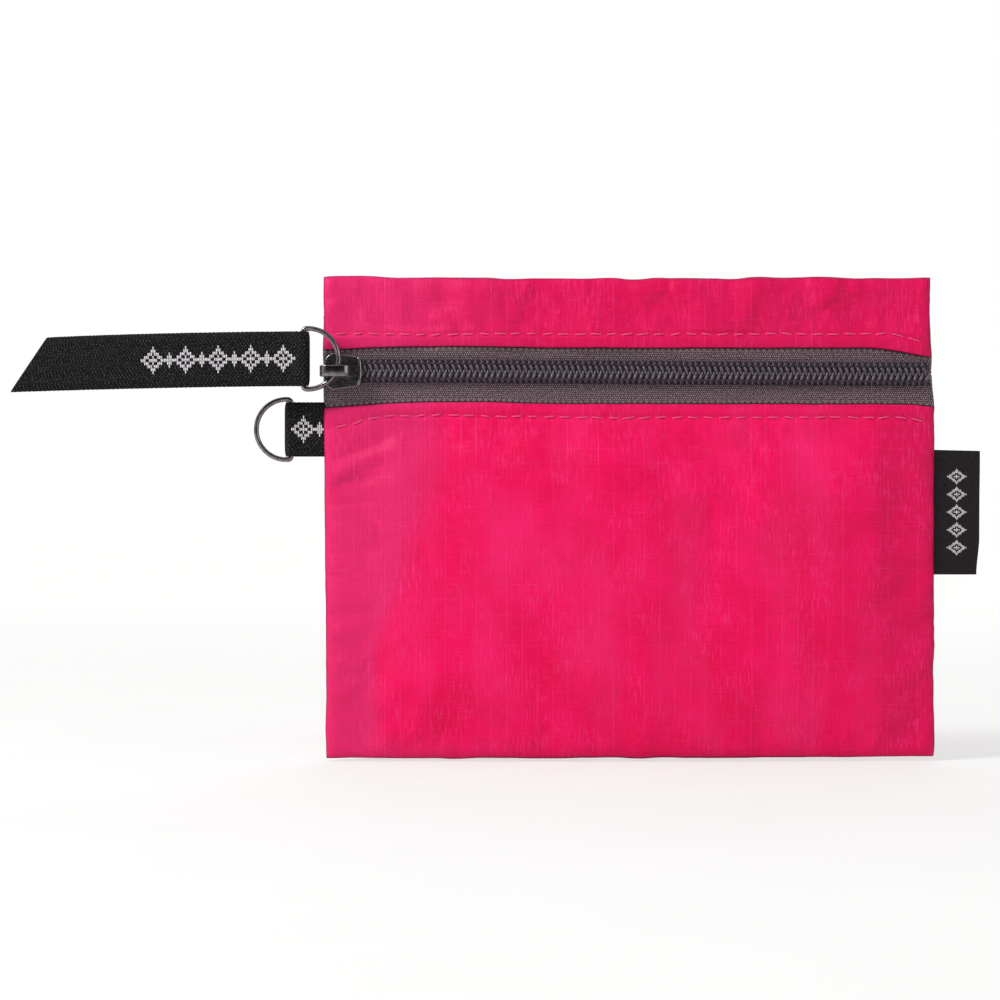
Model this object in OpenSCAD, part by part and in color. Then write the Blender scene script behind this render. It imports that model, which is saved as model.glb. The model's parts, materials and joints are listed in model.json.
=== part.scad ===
// Foldable tote bag, packed into its own flat zip pouch.
// Frame: +X runs along the zip, from the slider's closed end to the far seam. +Z runs from the
// bottom edge to the top edge. +Y points out of the flat back.
// The origin is the middle of the back panel's outer face.
// "Depth" is the distance in front of that face, so a point at depth d has y = -d.

/* [Pouch] */
// Width, side seam to side seam
pouch_w = 130; // [124:1:150]
// Height, bottom edge to top edge
pouch_h = 103; // [98:1:116]
// Thickness of the flat rim that carries the zip
rim_t = 3.6; // [3.6:0.1:4.2]
// Thickness over the middle of the belly, where the tote lies
belly_t = 7.2; // [7:0.1:9]
// Thickness of one fabric panel
cloth_t = 0.5; // [0.4:0.05:0.5]

/* [Zip] */
// Height of the tooth line above the middle of the pouch
zip_z = 31.1; // [29:0.1:32]
// Bare tape above the tooth line
window_up = 5.4; // [5:0.1:6.5]
// Bare tape below the tooth line
window_down = 7; // [5:0.1:7.5]
// Width of each tape, tooth line to selvedge
tape_w = 12; // [10:0.5:13]
// Thickness of the woven tape
tape_t = 0.5; // [0.4:0.05:0.5]
// Distance from one tooth to the next
coil_pitch = 1.27; // [1.2:0.01:1.4]
// Half the width of the closed chain
coil_half_w = 2.2; // [2:0.1:2.4]
// Height of the coil above the tape
coil_t = 1.3; // [1.2:0.05:1.4]
// Diameter of the coil's filament
filament_d = 0.5; // [0.4:0.05:0.5]
// Diameter of the cord inside the coil
cord_d = 0.5; // [0.4:0.05:0.5]

/* [Slider] */
// Length of the slider's front plate, nose to tail
slider_len = 7.8; // [7.4:0.1:8.4]
// Width across the slider's nose
slider_w = 7.8; // [7.4:0.1:8.4]
// Length of the bridge that holds the pull ring
crown_len = 6.6; // [5.6:0.1:7]
// Width of the bridge
crown_w = 2.4; // [2:0.1:2.6]
// Clear height under the bridge
crown_gap = 2.5; // [2.5:0.1:3]

/* [Rings and webbing] */
// Wire diameter of both D-rings
wire_d = 1.1; // [1:0.05:1.1]
// Radius of a D-ring's bow, to the middle of the wire
bow_r = 6.45; // [6.45:0.05:7]
// Bend radius of a D-ring's corners, to the middle of the wire
corner_r = 0.7; // [0.6:0.05:0.7]
// Distance from a D-ring's bar to the start of its bow
leg_len = 1; // [0.8:0.1:2]
// Width of the webbing
web_w = 11.5; // [10:0.5:11.5]
// Thickness of one layer of webbing
web_t = 0.8; // [0.6:0.05:0.9]
// Length of the pull tab's long edge, from the ring's bar
tab_len = 62.1; // [40:0.1:80]
// How far the tab's slanted end leans back
tab_slant = 7.7; // [0:0.1:12]
// Height of the pull ring's middle above the tooth line
ring_rise = 2.6; // [1.5:0.1:2.6]
// Distance of the side ring's bar from the side seam
loop_reach = 7.2; // [6:0.1:10]
// Height of the side loop above the middle of the pouch
loop_z = 18.8; // [14:0.1:18.8]

/* [Label] */
// Reach of the side label past the seam
label_reach = 10; // [8:0.5:14]
// Length of the label along the seam
label_h = 26.7; // [16:0.1:30]
// Height of the label's middle above the middle of the pouch
label_z = 1.1; // [-10:0.1:10]
// Thickness of the folded label
label_t = 0.6; // [0.4:0.05:0.8]

/* [Stitching] */
// Distance from one stitch to the next
stitch_pitch = 3.4; // [2.8:0.1:4]
// Length of one stitch
stitch_len = 2.5; // [1.5:0.1:2.5]
// Thread thickness
thread_d = 0.3; // [0.2:0.05:0.4]
// Distance of the upper line of stitches from its fold
stitch_up = 2.7; // [2:0.1:4]
// Distance of the lower line of stitches from its fold
stitch_down = 3.2; // [2:0.1:4]

/* [Folded tote] */
// Width of the folded pack
pack_w = 104; // [80:1:104]
// Height of the folded pack
pack_h = 58; // [40:1:58]
// Number of layers in the pack
pack_layers = 5; // [3:2:5]
// Thickness of one folded layer
layer_t = 0.35; // [0.3:0.05:0.35]
// Width of the tote's handles
handle_w = 20; // [15:1:22]
// Length of the back handle, folded once
handle_back_len = 76; // [60:1:76]
// Length of the front handle, folded once
handle_front_len = 60; // [50:1:60]

/* [Hidden] */
$fn = 48;

pink = "#e4205c";
tape_grey = "#5c444c";
coil_grey = "#4a3d48";
web_black = "#222023";
label_black = "#19120f";
gunmetal = "#5a5a5f";

half_w = pouch_w / 2;
half_h = pouch_h / 2;
touch_gap = 0.05;                 // between pieces that only lie against each other
running_gap = 0.05;               // between a wire and the webbing that turns on it
rest_gap = 0.01;                  // under a thread that lies on a surface
overcut = 1;                      // how far a cutting shape runs past what it cuts

// Rim and belly
rim_r = 2.7;                      // roundness of the pouch's front edges
rim_steps = 6;
belly_foot = 2.2;                 // depth at which the belly's curve starts, inside the rim
belly_steps = 14;
belly_margin = 2;                 // from the side seams to the foot of the belly
belly_top = zip_z - window_down - 3;
belly_low = -half_h + 1;
belly_mid = (belly_top + belly_low) / 2;

// Depths of the zip's layers, back to front
tape_front = rim_t - cloth_t - touch_gap;
tape_back = tape_front - tape_t;
coil_axis = tape_front + rest_gap + coil_t / 2;
tooth_hook = 0.35;                // how far a tooth passes the tooth line
tape_split = 1;                   // half the gap between the two tapes
tape_inset = 2.5;                 // from the side seam to the sewn-in selvedge
cord_z = 1.1;                     // from the tooth line to the cord
coil_thread_d = 0.28;

// Slider
slider_slack = 0.15;              // clearance over the coil
plate_back = tape_front + coil_t + slider_slack;
plate_t = 0.8;
plate_front = plate_back + plate_t;
rear_plate_front = tape_back - 0.1;
rear_plate_t = 0.7;
rear_plate_inset = 0.2;
rear_plate_short = 0.8;           // keeps the rear plate off the closed end of the pouch
flange_t = 0.6;
tail_taper = 0.6;                 // how much narrower each side is at the tail
wedge_w = 1.2;                    // wedge that parts the teeth
wedge_len = 2.4;
nose_x = -half_w + 0.1;
tail_x = nose_x + slider_len;
chain_start = tail_x - 3.6;       // the closed chain ends inside the slider
chain_end = half_w - 0.8;

// Bridge and pull ring
wire_r = wire_d / 2;
crown_t = 0.8;
crown_x = nose_x + 2.4;
ring_depth = plate_front + crown_gap / 2;
ring_z = zip_z + ring_rise;
// The bow crosses the bridge above the bow's own middle, where it leans back by this much.
function bow_reach(rise) = sqrt(bow_r * bow_r - rise * rise);
bow_lean = bow_r - (bow_reach(ring_rise - crown_w / 2) + bow_reach(ring_rise + crown_w / 2)) / 2;
pull_bar_x = crown_x + bow_lean - bow_r - leg_len;

// Webbing and label
web_fold_r = wire_r + running_gap + web_t;
seam_depth = rim_t / 2;           // where webbing and label leave the side seams
loop_bar_x = -half_w - loop_reach;
loop_root_x = -half_w - web_t - touch_gap;
label_root_x = half_w + label_t / 2 + touch_gap;

// Folded tote
layer_gap = 0.12;
layer_step = layer_t + layer_gap;
pack_back = cloth_t + 0.15;
pack_front = pack_back + (pack_layers - 1) * layer_step + layer_t;
pack_z = -16;
strap_t = 0.5;
strap_step = strap_t + 0.1;       // from one layer of a folded handle to the next
handle_gap = 0.1;                 // in front of the pack and between the handles
handle_back_depth = pack_front + handle_gap;
handle_front_depth = handle_back_depth + strap_step + strap_t + handle_gap;

// Points on an arc
function arc(cx, cy, r, from, to, steps) =
    [for (i = [0 : steps]) let (a = from + (to - from) * i / steps) [cx + r * cos(a), cy + r * sin(a)]];

// Outline that stands on the first axis: two straight sides and two rounded shoulders
function arch(half, height, r) = concat(
    [[-half, 0]],
    arc(-half + r, height - r, r, 180, 90, rim_steps),
    arc(half - r, height - r, r, 90, 0, rim_steps),
    [[half, 0]]);

// Outline that stands on the first axis: short sides and one shallow crown
function crowned(half, foot, rise) = concat(
    [[-half, 0]],
    [for (i = [0 : belly_steps]) let (u = -half + 2 * half * i / belly_steps)
        [u, foot + rise * (1 - pow(u / half, 2))]],
    [[half, 0]]);

// An outline of [x, depth] points drawn out along Z
module along_z(outline, length) {
    mirror([0, 1, 0]) linear_extrude(length, center = true) polygon(outline);
}

// An outline of [z, depth] points drawn out along X
module along_x(outline, length) {
    rotate([90, 0, 90]) linear_extrude(length, center = true) polygon([for (p = outline) [-p[1], p[0]]]);
}

// A flat sheet of [x, z] points between two depths
module sheet(outline, depth, t) {
    translate([0, -depth, 0]) rotate([90, 0, 0]) linear_extrude(t) polygon(outline);
}

// A block between two x, two depths and two z
module block(x0, x1, d0, d1, z0, z1) {
    translate([x0, -d1, z0]) cube([x1 - x0, d1 - d0, z1 - z0]);
}

// A round bar along Z, centred on z
module upright(x, depth, z, length, r) {
    translate([x, -depth, z]) cylinder(h = length, r = r, center = true);
}

// A round bar along X
module lengthwise(x0, x1, depth, z, r) {
    translate([x0, -depth, z]) rotate([0, 90, 0]) cylinder(h = x1 - x0, r = r);
}

// Builds a zip part for the upper half, or its mirror image for the lower half
module zip_half(side) {
    translate([0, 0, zip_z]) mirror([0, 0, side == "upper" ? 0 : 1]) children();
}

// The pouch as a solid, with every face moved in by inset
module pouch_form(inset) {
    intersection() {
        along_z(arch(half_w - inset, rim_t - inset, rim_r - inset), pouch_h + 2 * overcut);
        along_x(arch(half_h - inset, rim_t - inset, rim_r - inset), pouch_w + 2 * overcut);
    }
    rise = belly_t - belly_foot;
    translate([0, 0, belly_mid]) intersection() {
        along_z(crowned(half_w - belly_margin - inset, belly_foot - inset, rise), pouch_h);
        along_x(crowned((belly_top - belly_low) / 2 - inset, belly_foot - inset, rise), pouch_w);
    }
}

// The pouch's front skin between two heights
module front_skin(z0, z1) {
    intersection() {
        difference() {
            pouch_form(0);
            pouch_form(cloth_t);
        }
        block(-half_w - overcut, half_w + overcut, cloth_t, belly_t + overcut, z0, z1);
    }
}

module back_panel() {
    color(pink) block(-half_w, half_w, 0, cloth_t, -half_h, half_h);
}

module front_panel() {
    color(pink) front_skin(-half_h - overcut, zip_z - window_down);
}

module top_band() {
    color(pink) front_skin(zip_z + window_up, half_h + overcut);
}

// One tape: its selvedge is sewn behind the fabric, and its ends turn into the side seams
module zipper_tape(side) {
    fold = side == "upper" ? window_up : window_down;
    end_x = half_w - touch_gap;
    color(tape_grey) zip_half(side) {
        block(-end_x, end_x, tape_back, tape_front, tape_split, fold - touch_gap);
        block(-half_w + tape_inset, half_w - tape_inset, tape_back, tape_front, fold - 2 * touch_gap, tape_w);
        for (x = [-end_x, end_x - cloth_t])
            block(x, x + cloth_t, cloth_t, tape_back + touch_gap, tape_split, fold - touch_gap);
    }
}

// Outline of one turn of the coil, seen along the chain, drawn inset from its outer edge
module turn_outline(inset) {
    r = coil_t / 2 - inset;
    low = coil_t / 2 - tooth_hook;
    high = coil_half_w - coil_t / 2;
    for (u = [low, high]) translate([0, u]) circle(r);
    translate([-r, low]) square([2 * r, high - low]);
}

module zipper_coil(side) {
    first = chain_start + (side == "upper" ? 0.3 : 0.3 + coil_pitch / 2);
    turns = floor((chain_end - 0.3 - first) / coil_pitch);
    color(coil_grey) zip_half(side)
        for (i = [0 : turns]) translate([first + i * coil_pitch, -coil_axis, 0])
            rotate([90, 0, 90]) linear_extrude(filament_d, center = true) difference() {
                turn_outline(0);
                turn_outline(filament_d * 0.75);
            }
}

module coil_cord(side) {
    color(tape_grey) zip_half(side) lengthwise(chain_start, chain_end, coil_axis, cord_z, cord_d / 2 - 0.02);
}

// The thread that holds the coil's outer turns down on the tape
module coil_thread(side) {
    r = coil_thread_d / 2;
    color(coil_grey) zip_half(side)
        lengthwise(chain_start, chain_end, tape_front + rest_gap + r, coil_half_w + rest_gap + r, r);
}

// A row of stitches lying on the fabric
module topstitch(z) {
    run = half_w - rim_r - 1;
    count = floor(2 * run / stitch_pitch);
    color(pink) for (i = [0 : count - 1]) {
        x = (i - (count - 1) / 2) * stitch_pitch;
        lengthwise(x - stitch_len / 2, x + stitch_len / 2, rim_t + rest_gap + thread_d / 2, z, thread_d / 2);
    }
}

module topstitch_upper() { topstitch(zip_z + window_up + stitch_up); }
module topstitch_lower() { topstitch(zip_z - window_down - stitch_down); }

// Outline of a slider plate: round shoulders at the nose, tighter corners at the tail
function plate_outline(x0, x1, nose_half, tail_half) = let (nose_r = 2.4, tail_r = 1) concat(
    arc(x0 + nose_r, nose_half - nose_r, nose_r, 180, 90, 8),
    arc(x1 - tail_r, tail_half - tail_r, tail_r, 90, 0, 5),
    arc(x1 - tail_r, -tail_half + tail_r, tail_r, 0, -90, 5),
    arc(x0 + nose_r, -nose_half + nose_r, nose_r, -90, -180, 8));

module slider_body() {
    nose_half = slider_w / 2;
    tail_half = nose_half - tail_taper;
    rear_x = nose_x + rear_plate_short;
    channel = tail_half - flange_t;
    color(gunmetal) translate([0, 0, zip_z]) {
        sheet(plate_outline(nose_x, tail_x, nose_half, tail_half), plate_back, plate_t);
        sheet(plate_outline(rear_x, tail_x, nose_half - rear_plate_inset, tail_half - rear_plate_inset),
              rear_plate_front - rear_plate_t, rear_plate_t);
        // Side flanges keep the teeth in line
        difference() {
            sheet(plate_outline(nose_x, tail_x, nose_half, tail_half),
                  tape_front + slider_slack, plate_back + touch_gap - tape_front - slider_slack);
            block(nose_x - overcut, tail_x + overcut, tape_front, plate_front, -channel, channel);
        }
        // Wedge between the plates
        block(rear_x + 0.6, rear_x + 0.6 + wedge_len, rear_plate_front - touch_gap, plate_back + touch_gap,
              -wedge_w / 2, wedge_w / 2);
    }
}

// Bridge across the slider's front plate
module slider_crown() {
    color(gunmetal) translate([crown_x, -plate_front, zip_z]) difference() {
        along_z(arch(crown_len / 2, crown_gap + crown_t, 1.5), crown_w);
        along_z(arch(crown_len / 2 - crown_t, crown_gap, 0.8), crown_w + overcut);
    }
}

// A D-ring in the XZ plane, its bar on the Z axis and its bow to +X
module d_ring() {
    bar_half = bow_r - corner_r;
    cylinder(h = 2 * bar_half, r = wire_r, center = true);
    for (side = [0, 1]) mirror([0, 0, side]) {
        translate([corner_r, 0, bar_half]) rotate([90, 0, 0]) rotate(90)
            rotate_extrude(angle = 90) translate([corner_r, 0]) circle(wire_r);
        translate([corner_r, 0, bow_r]) rotate([0, 90, 0]) cylinder(h = leg_len - corner_r, r = wire_r);
    }
    translate([leg_len, 0, 0]) rotate([90, 0, 0]) rotate(-90)
        rotate_extrude(angle = 180) translate([bow_r, 0]) circle(wire_r);
}

module pull_ring() {
    color(gunmetal) translate([pull_bar_x, -ring_depth, ring_z]) d_ring();
}

module side_ring() {
    color(gunmetal) translate([loop_bar_x, -seam_depth, loop_z]) mirror([1, 0, 0]) d_ring();
}

// Webbing turned round a ring's bar and laid double. plan is the flat part, in [x, z] about the bar.
module folded_webbing(x, depth, z, plan) {
    translate([x, 0, z]) difference() {
        union() {
            upright(0, depth, 0, web_w, web_fold_r);
            sheet(plan, depth - web_t, 2 * web_t);
        }
        upright(0, depth, 0, web_w + 2 * overcut, wire_r + running_gap);
    }
}

module pull_tab() {
    edge = web_w / 2;
    color(web_black) folded_webbing(pull_bar_x, ring_depth, ring_z,
        [[0, -edge], [0, edge], [tab_slant - tab_len, edge], [-tab_len, -edge]]);
}

module side_loop() {
    edge = web_w / 2;
    root = loop_root_x - loop_bar_x;
    color(web_black) {
        folded_webbing(loop_bar_x, seam_depth, loop_z, [[0, -edge], [0, edge], [root, edge], [root, -edge]]);
        upright(loop_root_x, seam_depth, loop_z, web_w, web_t);
    }
}

module side_label() {
    color(label_black) {
        block(label_root_x, half_w + label_reach, seam_depth - label_t / 2, seam_depth + label_t / 2,
              label_z - label_h / 2, label_z + label_h / 2);
        upright(label_root_x, seam_depth, label_z, label_h, label_t / 2);
    }
}

// A cloth folded to and fro: layers stacked along the first axis, joined at alternate ends
module fold_stack(layers, t, step, length) {
    for (i = [0 : layers - 1]) translate([i * step, -length / 2]) square([t, length]);
    for (i = [0 : layers - 2])
        translate([i * step, i % 2 == 0 ? length / 2 - t : -length / 2]) square([step + t, t]);
}

module tote_body() {
    color(pink) translate([0, -pack_back, pack_z]) mirror([0, 1, 0]) rotate([90, 0, 90])
        linear_extrude(pack_w, center = true) fold_stack(pack_layers, layer_t, layer_step, pack_h);
}

// A handle folded once, lying across the front of the pack
module tote_handle(depth, length) {
    color(pink) translate([0, -depth, pack_z]) rotate(-90)
        linear_extrude(handle_w, center = true) fold_stack(2, strap_t, strap_step, length);
}

module tote_handle_back() { tote_handle(handle_back_depth, handle_back_len); }
module tote_handle_front() { tote_handle(handle_front_depth, handle_front_len); }

back_panel();
front_panel();
top_band();
zipper_tape("upper");  // zipper_tape_upper
zipper_tape("lower");  // zipper_tape_lower
zipper_coil("upper");  // zipper_coil_upper
zipper_coil("lower");  // zipper_coil_lower
coil_cord("upper");  // coil_cord_upper
coil_cord("lower");  // coil_cord_lower
coil_thread("upper");  // coil_thread_upper
coil_thread("lower");  // coil_thread_lower
topstitch_upper();
topstitch_lower();
slider_body();
slider_crown();
pull_ring();
pull_tab();
side_loop();
side_ring();
side_label();
tote_body();
tote_handle_front();
tote_handle_back();
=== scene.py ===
"""A foldable tote bag packed in its own zip pouch: the looks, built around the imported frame.

Shapes are worked out in millimetres in the row's frame: x runs along the zip, z is up, and depth is the
distance in front of the back panel's outer face, so y = -depth. Everything is placed from the frame.
"""
import json
import math

import bmesh
import bpy
import numpy as np
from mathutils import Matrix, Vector


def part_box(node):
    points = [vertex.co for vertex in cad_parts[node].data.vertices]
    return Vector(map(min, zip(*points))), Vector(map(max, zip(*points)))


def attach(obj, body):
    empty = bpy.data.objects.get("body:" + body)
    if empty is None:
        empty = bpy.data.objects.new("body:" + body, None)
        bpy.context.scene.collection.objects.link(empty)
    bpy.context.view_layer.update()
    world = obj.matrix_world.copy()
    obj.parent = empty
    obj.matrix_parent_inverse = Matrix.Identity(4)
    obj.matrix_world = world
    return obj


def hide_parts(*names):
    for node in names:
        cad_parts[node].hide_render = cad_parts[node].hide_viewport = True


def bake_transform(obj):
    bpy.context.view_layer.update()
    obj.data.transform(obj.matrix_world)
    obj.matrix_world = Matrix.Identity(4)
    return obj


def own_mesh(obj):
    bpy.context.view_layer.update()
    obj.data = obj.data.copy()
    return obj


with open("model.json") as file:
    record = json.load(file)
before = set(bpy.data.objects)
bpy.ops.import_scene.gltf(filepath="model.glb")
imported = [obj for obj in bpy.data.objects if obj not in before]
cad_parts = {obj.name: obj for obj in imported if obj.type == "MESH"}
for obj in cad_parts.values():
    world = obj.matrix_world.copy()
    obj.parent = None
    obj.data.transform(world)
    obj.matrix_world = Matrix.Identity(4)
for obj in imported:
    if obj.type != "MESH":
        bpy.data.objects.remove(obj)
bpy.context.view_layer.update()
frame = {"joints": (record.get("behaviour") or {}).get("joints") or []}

MM = 0.001


# ---------------------------------------------------------------- places, from the frame

def box_mm(node):
    """Lowest and highest corner of a CAD node as x, depth, z, in millimetres."""
    low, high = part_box(node)
    return (np.array([low.x, -high.y, low.z]) / MM, np.array([high.x, -low.y, high.z]) / MM)


def find_joint(name):
    return next(joint for joint in frame["joints"] if joint["name"] == name)


def joint_mm(name):
    """A joint's place as x, depth, z, in millimetres."""
    x, y, z = find_joint(name)["pos_m"]
    return np.array([x, -y, z]) / MM


HALF_W = box_mm("back_panel")[1][0]
HALF_H = box_mm("back_panel")[1][2]
FOLD_UP = box_mm("top_band")[0][2]
FOLD_DOWN = box_mm("front_panel")[1][2]
RIM = box_mm("top_band")[1][1]
TAPE_FRONT = box_mm("zipper_tape_upper")[1][1]
TAPE_TOP = box_mm("zipper_tape_upper")[1][2]
TAPE_LOW = box_mm("zipper_tape_lower")[0][2]
COIL_FRONT = box_mm("zipper_coil_upper")[1][1]
TOOTH_Z = (box_mm("zipper_coil_upper")[0][2] + box_mm("zipper_coil_lower")[1][2]) / 2
COIL_HALF = box_mm("zipper_coil_upper")[1][2] - TOOTH_Z
STITCH_UP = sum(box_mm("topstitch_upper"))[2] / 2
STITCH_DOWN = sum(box_mm("topstitch_lower"))[2] / 2
SLIDER_LOW, SLIDER_HIGH = box_mm("slider_body")
CROWN_LOW, CROWN_HIGH = box_mm("slider_crown")
PACK_LOW, PACK_HIGH = box_mm("tote_body")
LABEL_LOW, LABEL_HIGH = box_mm("side_label")
RING_AXIS = joint_mm("pull_tab_swing")
SIDE_AXIS = joint_mm("side_ring_swing")
SEAM_DEPTH = joint_mm("label_bend")[1]

WEDGE_START = 1.4            # from the slider's nose to its wedge
WEDGE_LENGTH = 2.4
EDGE_R = 2.7                 # roundness of the pouch along its edges
EDGE_TUCK = -0.4             # how far round the edge turns in to the seam, in radians
EDGE_STEPS = 9
HEM_R = 0.26                 # roundness of the folds beside the zip
ON_TAPE = TAPE_FRONT + 0.1   # the deepest that cloth beside the zip can lie
CLOTH = 0.2                  # thickness of the nylon
WEB = 0.8                    # thickness of one layer of webbing
WIRE_R = 0.55
COIL_PITCH = 1.27
SHARP = math.radians(35)     # edges of metal blocks that turn more than this are rounded


# ---------------------------------------------------------------- small geometry tools

def smooth(t):
    """0 below 0, 1 above 1, and an easy curve between."""
    t = np.clip(t, 0, 1)
    return t * t * (3 - 2 * t)


def bump(d, width):
    """A soft hump of height 1 at d = 0."""
    return np.exp(-(d / width) ** 2)


def field(x, y, size, seed):
    """Smooth seeded noise between -1 and 1, with features of the given size."""
    table = np.random.default_rng(seed).uniform(-1, 1, (64, 64))
    gx = np.asarray(x, float) / size + 31.7
    gy = np.asarray(y, float) / size + 12.3
    ix = np.floor(gx).astype(int)
    iy = np.floor(gy).astype(int)
    fx = gx - ix
    fy = gy - iy
    fx = fx ** 3 * (fx * (fx * 6 - 15) + 10)
    fy = fy ** 3 * (fy * (fy * 6 - 15) + 10)
    low = table[ix % 64, iy % 64] * (1 - fx) + table[(ix + 1) % 64, iy % 64] * fx
    high = table[ix % 64, (iy + 1) % 64] * (1 - fx) + table[(ix + 1) % 64, (iy + 1) % 64] * fx
    return low * (1 - fy) + high * fy


def cloud(x, y, size, seed):
    """Three layers of noise."""
    total = field(x, y, size, seed)
    total = total + 0.5 * field(x, y, size / 2.1, seed + 1)
    return (total + 0.25 * field(x, y, size / 4.3, seed + 2)) / 1.4


def ridge(x, z, start, end, width):
    """A soft ridge of height 1 along the line from start to end, fading at both ends."""
    ax, az = start
    bx, bz = end
    length = math.hypot(bx - ax, bz - az)
    along = ((x - ax) * (bx - ax) + (z - az) * (bz - az)) / length
    across = ((x - ax) * (bz - az) - (z - az) * (bx - ax)) / length
    ends = smooth(along / (0.35 * length)) * smooth((length - along) / (0.35 * length))
    return ends * bump(across, width)


def quads(rows, cols, close_rows=False, close_cols=False):
    """Faces of a grid of vertices, row by row, that can join its last row or column to its first."""
    faces = []
    for r in range(rows if close_rows else rows - 1):
        for c in range(cols if close_cols else cols - 1):
            r2 = (r + 1) % rows
            c2 = (c + 1) % cols
            faces.append((r * cols + c, r * cols + c2, r2 * cols + c2, r2 * cols + c))
    return faces


def caps(rows, cols):
    """The two end faces of a closed grid."""
    return [tuple(reversed(range(cols))), tuple((rows - 1) * cols + i for i in range(cols))]


def lengths(path):
    """How far along a path each of its points lies."""
    return np.concatenate([[0], np.cumsum(np.linalg.norm(np.diff(path, axis=0), axis=1))])


def directions(path):
    """Unit directions along a path."""
    ahead = np.gradient(path, axis=0)
    return ahead / np.linalg.norm(ahead, axis=1, keepdims=True)


def normals(grid):
    """Unit normals of a grid of points."""
    along = np.gradient(grid, axis=0)
    across = np.gradient(grid, axis=1)
    n = np.cross(across, along)
    return n / np.maximum(np.linalg.norm(n, axis=2, keepdims=True), 1e-9)


class Shape:
    """Collects vertices as x, depth, z in millimetres, with the cloth coordinates that materials read."""

    def __init__(self):
        self.points = []
        self.cloth = []
        self.faces = []

    def add(self, points, faces, cloth=None):
        points = np.asarray(points, float).reshape(-1, 3)
        cloth = points[:, [0, 2, 1]] if cloth is None else np.asarray(cloth, float).reshape(-1, 3)
        first = sum(len(p) for p in self.points)
        self.points.append(points)
        self.cloth.append(cloth)
        self.faces.extend(tuple(first + i for i in face) for face in faces)

    def build(self, name, material, node=None):
        """Makes the piece. node is the CAD node that it stands for."""
        points = np.concatenate(self.points)
        verts = np.stack([points[:, 0], -points[:, 1], points[:, 2]], 1) * MM
        mesh = bpy.data.meshes.new(name)
        mesh.from_pydata(verts.tolist(), [], self.faces)
        fix_normals(mesh)
        return make_piece(name, mesh, np.concatenate(self.cloth), material, node)


def fix_normals(mesh):
    bm = bmesh.new()
    bm.from_mesh(mesh)
    bmesh.ops.recalc_face_normals(bm, faces=bm.faces)
    bm.to_mesh(mesh)
    bm.free()


def make_piece(name, mesh, cloth, material, node):
    """Finishes a piece: cloth coordinates, smooth shading, material and the node it stands for."""
    store = mesh.attributes.new("cloth", "FLOAT_VECTOR", "POINT")
    store.data.foreach_set("vector", cloth.astype(np.float32).ravel())
    mesh.polygons.foreach_set("use_smooth", [True] * len(mesh.polygons))
    mesh.materials.append(material)
    piece = link_object(name, mesh)
    if node is not None:
        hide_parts(node)
    return piece


def link_object(name, data):
    made = bpy.data.objects.new(name, data)
    bpy.context.scene.collection.objects.link(made)
    return made


def add_sheet(shape, grid, thickness, cloth):
    """A closed sheet of even thickness about a grid of points."""
    rows, cols = grid.shape[:2]
    n = normals(grid) * thickness / 2
    count = rows * cols
    top = quads(rows, cols)
    under = [tuple(count + i for i in reversed(face)) for face in top]
    rim = [r * cols for r in range(rows)]
    rim += [(rows - 1) * cols + c for c in range(1, cols)]
    rim += [r * cols + cols - 1 for r in range(rows - 2, -1, -1)]
    rim += list(range(cols - 2, 0, -1))
    walls = [(a, b, count + b, count + a) for a, b in zip(rim, rim[1:] + rim[:1])]
    points = np.concatenate([(grid + n).reshape(-1, 3), (grid - n).reshape(-1, 3)])
    both = np.concatenate([cloth.reshape(-1, 3), cloth.reshape(-1, 3)])
    shape.add(points, top + under + walls, both)


def add_tube(shape, path, radius, sides=10, closed=False, flat=1.0, squash_axis=None):
    """A round tube along a path. radius is one number or one for each point."""
    path = np.asarray(path, float)
    count = len(path)
    radius = np.broadcast_to(np.asarray(radius, float), (count,))
    ahead = np.roll(path, -1, 0) - np.roll(path, 1, 0)
    if not closed:
        ahead[0] = path[1] - path[0]
        ahead[-1] = path[-1] - path[-2]
    ahead /= np.linalg.norm(ahead, axis=1, keepdims=True)
    side = np.cross(ahead[0], [0.3, 1, 0.2])
    frames = []
    for t in ahead:
        side = side - t * (side @ t)
        side /= np.linalg.norm(side)
        frames.append((side.copy(), np.cross(t, side)))
    angles = np.linspace(0, 2 * math.pi, sides, endpoint=False)
    rings = []
    for p, r, (a, b) in zip(path, radius, frames):
        ring = np.outer(np.cos(angles), a) + np.outer(np.sin(angles), b)
        if squash_axis is not None:
            ring[:, squash_axis] *= flat
        rings.append(p + r * ring)
    cloth = np.zeros((count, sides, 3))
    cloth[:, :, 0] = lengths(path)[:, None]
    cloth[:, :, 1] = angles * radius.mean()
    faces = quads(count, sides, close_rows=closed, close_cols=True)
    if not closed:
        faces += caps(count, sides)
    shape.add(np.array(rings), faces, cloth)


def turn(centre_x, centre_y, radius, start, end, steps):
    """Points on an arc in a plane, with angles in degrees."""
    a = np.radians(np.linspace(start, end, steps))
    return np.stack([centre_x + radius * np.cos(a), centre_y + radius * np.sin(a)], 1)


# ---------------------------------------------------------------- materials

def srgb(r, g, b):
    """Display colour, 0 to 255, as linear light."""
    out = []
    for c in (r / 255, g / 255, b / 255):
        out.append(c / 12.92 if c <= 0.04045 else ((c + 0.055) / 1.055) ** 2.4)
    return (*out, 1.0)


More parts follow.
